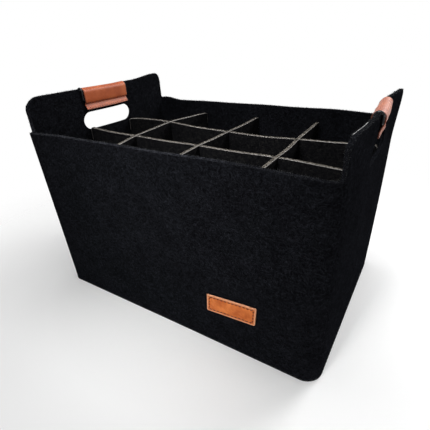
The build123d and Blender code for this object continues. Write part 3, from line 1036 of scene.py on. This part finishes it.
# A rounded rectangle: rings grow from its middle to its outline, and the stitches pull the surface in along
# a bell curve across them
def makePatch():
    halfU = patch["length"] / 2 - patch["edge"]
    halfV = patch["height"] / 2 - patch["edge"]
    outline = patchOutline(halfU, halfV, patch["cornerRadius"])
    inset = np.array([halfV, halfV * 0.75, halfV * 0.5, *patch["ringInsets"]])[:, None]
    u = np.sign(outline[:, 0]) * np.maximum(np.abs(outline[:, 0]) - inset, 0)
    v = np.sign(outline[:, 1]) * np.maximum(np.abs(outline[:, 1]) - inset, 0)
    fromStitch = np.broadcast_to(inset, u.shape) + patch["edge"] - patch["stitchInset"]
    sunk = patch["pull"] * np.exp(-(fromStitch / patch["pullWidth"]) ** 2)
    middle, normal = patchPoint(u, v, patch["thickness"] / 2 - sunk)
    normal = np.broadcast_to(normal, middle.shape)
    loop = [(len(inset) - 1, c) for c in range(len(outline))]
    points, faces = thickSheet(middle, normal, patch["thickness"], patch["edge"], [loop], closed=True,
                               steps=6)[:2]
    # Pale cut edge, and pale running about 1.5 mm onto both faces: the edge's own colour, and on the faces
    # partly a painted highlight
    pale = np.broadcast_to(inset, u.shape) / patch["paleRim"]
    pale = np.clip(patch["paleShift"] - pale, 0, 1).ravel()
    cutEdge = np.concatenate([pale, pale, np.ones(len(points) - 2 * pale.size)]) * patch["palest"]
    piece = makePiece("leatherPatch", points, faces, [patchLeatherMaterial], cutEdge=cutEdge)
    finishPiece(piece, "patch_leather", "front_patch")

    halfU = patch["length"] / 2 - patch["stitchInset"]
    halfV = patch["height"] / 2 - patch["stitchInset"]
    alongU, alongV = (
        (np.arange(count) + 0.5) / count * 2 * half - half
        for count, half in ((patch["alongCount"], halfU), (patch["upCount"], halfV)))
    u = np.concatenate([alongU, alongU, np.full(len(alongV), -halfU), np.full(len(alongV), halfU)])
    v = np.concatenate([np.full(len(alongU), -halfV), np.full(len(alongU), halfV), alongV, alongV])
    lengthwise = np.concatenate([np.ones(2 * len(alongU)), np.zeros(2 * len(alongV))])
    depth = patch["thickness"] - patch["pull"]
    here, normals = patchPoint(u, v, depth)
    there = patchPoint(u + lengthwise, v + 1 - lengthwise, depth)[0]
    stitchRow("patchStitches", here, unit(there - here), normals, patch["stitchLength"],
              patch["stitchWidth"], brownThreadMaterial, "patch_leather", sink=patch["stitchSink"])


makePatch()
print("patch made")


# Fuzz

fuzz = dict(
    count=4600, width=0.2, shortest=0.8, longest=2.4, bend=0.35, stray=0.45, rooted=0.9,
    colour="#232428", shade="#0e0f11", patchSize=6.0, roughness=0.6,
)


# Loose fibres: closed square threads of two straight runs, bent where they meet by a random side step, and
# with a fine tip
def makeFibres(name, roots, directions, lengths, width, material, slotName):
    count = len(roots)
    sideways = unit(np.cross(directions, unit(rng.normal(size=(count, 3)))))
    upright = unit(np.cross(directions, sideways))
    bend = upright * rng.normal(0, fuzz["bend"], (count, 1))
    spine = np.stack([roots, roots + (directions * 0.55 + bend * 0.5) * lengths[:, None],
                      roots + (directions * 0.9 + bend * 1.4) * lengths[:, None]], 1)
    girth = np.array([1.0, 0.8, 0.25])[None, :, None, None] * width / 2
    around = np.stack([sideways, upright, -sideways, -upright], 1)
    points = (spine[:, :, None] + around[:, None] * girth).reshape(-1, 3)
    ends = np.array([[0, 1, 2, 3], [11, 10, 9, 8]])
    one = np.concatenate([gridFaces(3, 4, True)[:, ::-1], ends])
    faces = (one[None] + 12 * np.arange(count)[:, None, None]).reshape(-1, 4)
    piece = makePiece(name, points, faces, [material], weld=0)
    return finishPiece(piece, slotName)


# Roots along the band's upper edge, pointing away from the cut, some leaning along it
def rimFibres():
    edge, edgeNormal = bandMiddle[-1], bandNormal[-1]
    run = roundRun(edge)
    wanted = rng.uniform(0, run[-1], fuzz["count"])
    line = sampledRound(wanted, run, edge)
    away = unit(sampledRound(wanted, run, np.cross(edgeNormal, roundTangents(edge))))
    facing = unit(sampledRound(wanted, run, edgeNormal))
    angle = rng.uniform(0.1, math.pi - 0.1, (len(line), 1))
    onEdge = away * band["edgeBulge"] * np.sin(angle) ** 0.6 + facing * np.cos(angle) * wallHalf
    stray = rng.normal(0, fuzz["stray"], (len(line), 3))
    direction = unit(away * np.sin(angle) + facing * np.cos(angle) * 0.8 + stray)
    return line + fuzz["rooted"] * onEdge, direction


# Loose polyester fibre ends: thinner than the felt and lit through, so they look lighter than it
def makeFibreMaterial():
    material, shader, place = newMaterial("polyesterFibre", Roughness=fuzz["roughness"])
    patchy = addNode(material, "TexNoise", {
        "Vector": place, "Scale": perMm(fuzz["patchSize"]), "Detail": 2.0})
    colour = addNode(material, "ValToRGB", {"Fac": patchy.outputs["Fac"]}, [
        (0.4, fuzz["shade"]), (0.6, fuzz["colour"])])
    link(material, shader, colour.outputs["Color"])
    return material


roots, direction = rimFibres()
lengths = rng.uniform(fuzz["shortest"], fuzz["longest"], len(roots)) * rng.uniform(0.5, 1, len(roots))
makeFibres("rimFuzz", roots, direction, lengths, fuzz["width"], makeFibreMaterial(), "felt")
print("fuzz made", len(roots))


# Floor, light and camera

# Metres here. A softbox has its place, what it faces, its size, its power in watts and its spread in
# degrees.
studio = dict(
    paper="#ffffff", paperRoughness=0.9, wholeTo=0.2, goneAt=0.6, floorHalf=0.65, floorDrop=0.0004,
    ambient=0.36,
    key=((0.015, -0.60, 0.62), (0.006, -0.13, 0.20), 0.24, 0.39, 44),
    back=((0.55, 0.90, 0.95), (0.15, 0.0, 0.15), 0.5, 9.0, 180),
    overhead=((0.0, 0.05, 1.30), (0.0, 0.0, 0.15), 0.7, 7.0, 180),
    right=((1.05, 0.20, 0.30), (0.19, 0.0, 0.12), 0.4, 1.8, 180),
)


# White paper on the ground, plain near the box and fading into the white background further out
def makeFloor():
    mesh = bpy.data.meshes.new("floor")
    size = studio["floorHalf"]
    corners = [(-size, -size, 0), (size, -size, 0), (size, size, 0), (-size, size, 0)]
    mesh.from_pydata(corners, [], [(0, 1, 2, 3)])
    material, shader, place = newMaterial(
        "paperBackdrop", Roughness=studio["paperRoughness"], Base_Color=linear(studio["paper"]))
    distance = addNode(material, "VectorMath", {0: place}, operation="LENGTH")
    fade = addNode(material, "MapRange", {
        "Value": distance.outputs["Value"], "From Min": studio["wholeTo"], "From Max": studio["goneAt"],
        "To Min": 1.0, "To Max": 0.0}, interpolation_type="SMOOTHSTEP")
    material.node_tree.links.new(fade.outputs["Result"], shader.inputs["Alpha"])
    mesh.materials.append(material)
    floor = addObject("floor", mesh)
    floor.location.z = -studio["floorDrop"]


def makeLight(name, place, target, size, power, spread):  # a spread under 180 degrees gives a soft pool
    data = bpy.data.lights.new(name, "AREA")
    data.spread = math.radians(spread)
    data.shape = "SQUARE"
    data.size = size
    data.energy = power
    light = addObject(name, data)
    light.location = place
    light.rotation_euler = (Vector(target) - Vector(place)).to_track_quat("-Z", "Y").to_euler()


# Studio surroundings: plain white where they are seen, and dim as a light
def makeWorld():
    world = bpy.data.worlds.new("studio")
    world.use_nodes = True
    dim = world.node_tree.nodes["Background"]
    dim.inputs["Color"].default_value = (1, 1, 1, 1)
    dim.inputs["Strength"].default_value = studio["ambient"]
    seen = addNode(world, "Background", {"Color": (1, 1, 1, 1), "Strength": 1.0})
    path = addNode(world, "LightPath")
    mix = addNode(world, "MixShader", {
        "Fac": path.outputs["Is Camera Ray"], 1: dim.outputs["Background"], 2: seen.outputs["Background"]})
    world.node_tree.links.new(mix.outputs["Shader"], world.node_tree.nodes["World Output"].inputs["Surface"])
    bpy.context.scene.world = world


makeFloor()
for lightName in ("key", "back", "overhead", "right"):
    makeLight(lightName + "Softbox", *studio[lightName])
makeWorld()
bpy.context.scene.view_settings.view_transform = "Standard"  # plain studio white, as a product photo has

view = dict(place=(0.23457, -0.36911, 0.31792), azimuth=32.90, elevation=27.36, roll=-2.58, lens=28.703)


def makeCamera():  # at the photo's place, turned by azimuth, elevation and roll about its line of sight
    azimuth, elevation, roll = (math.radians(view[key]) for key in ("azimuth", "elevation", "roll"))
    flat = math.cos(elevation)
    back = Vector((math.sin(azimuth) * flat, -math.cos(azimuth) * flat, math.sin(elevation)))
    level = Vector((math.cos(azimuth), math.sin(azimuth), 0))
    right = Matrix.Rotation(roll, 3, back) @ level
    upward = back.cross(right)
    data = bpy.data.cameras.new("camera")
    data.sensor_width = 36
    data.lens = view["lens"]
    data.clip_start = 0.01
    camera = addObject("camera", data)
    turn = Matrix((right, upward, back)).transposed().to_4x4()
    camera.matrix_world = Matrix.Translation(view["place"]) @ turn
    bpy.context.scene.camera = camera


makeCamera()
print("stage made")
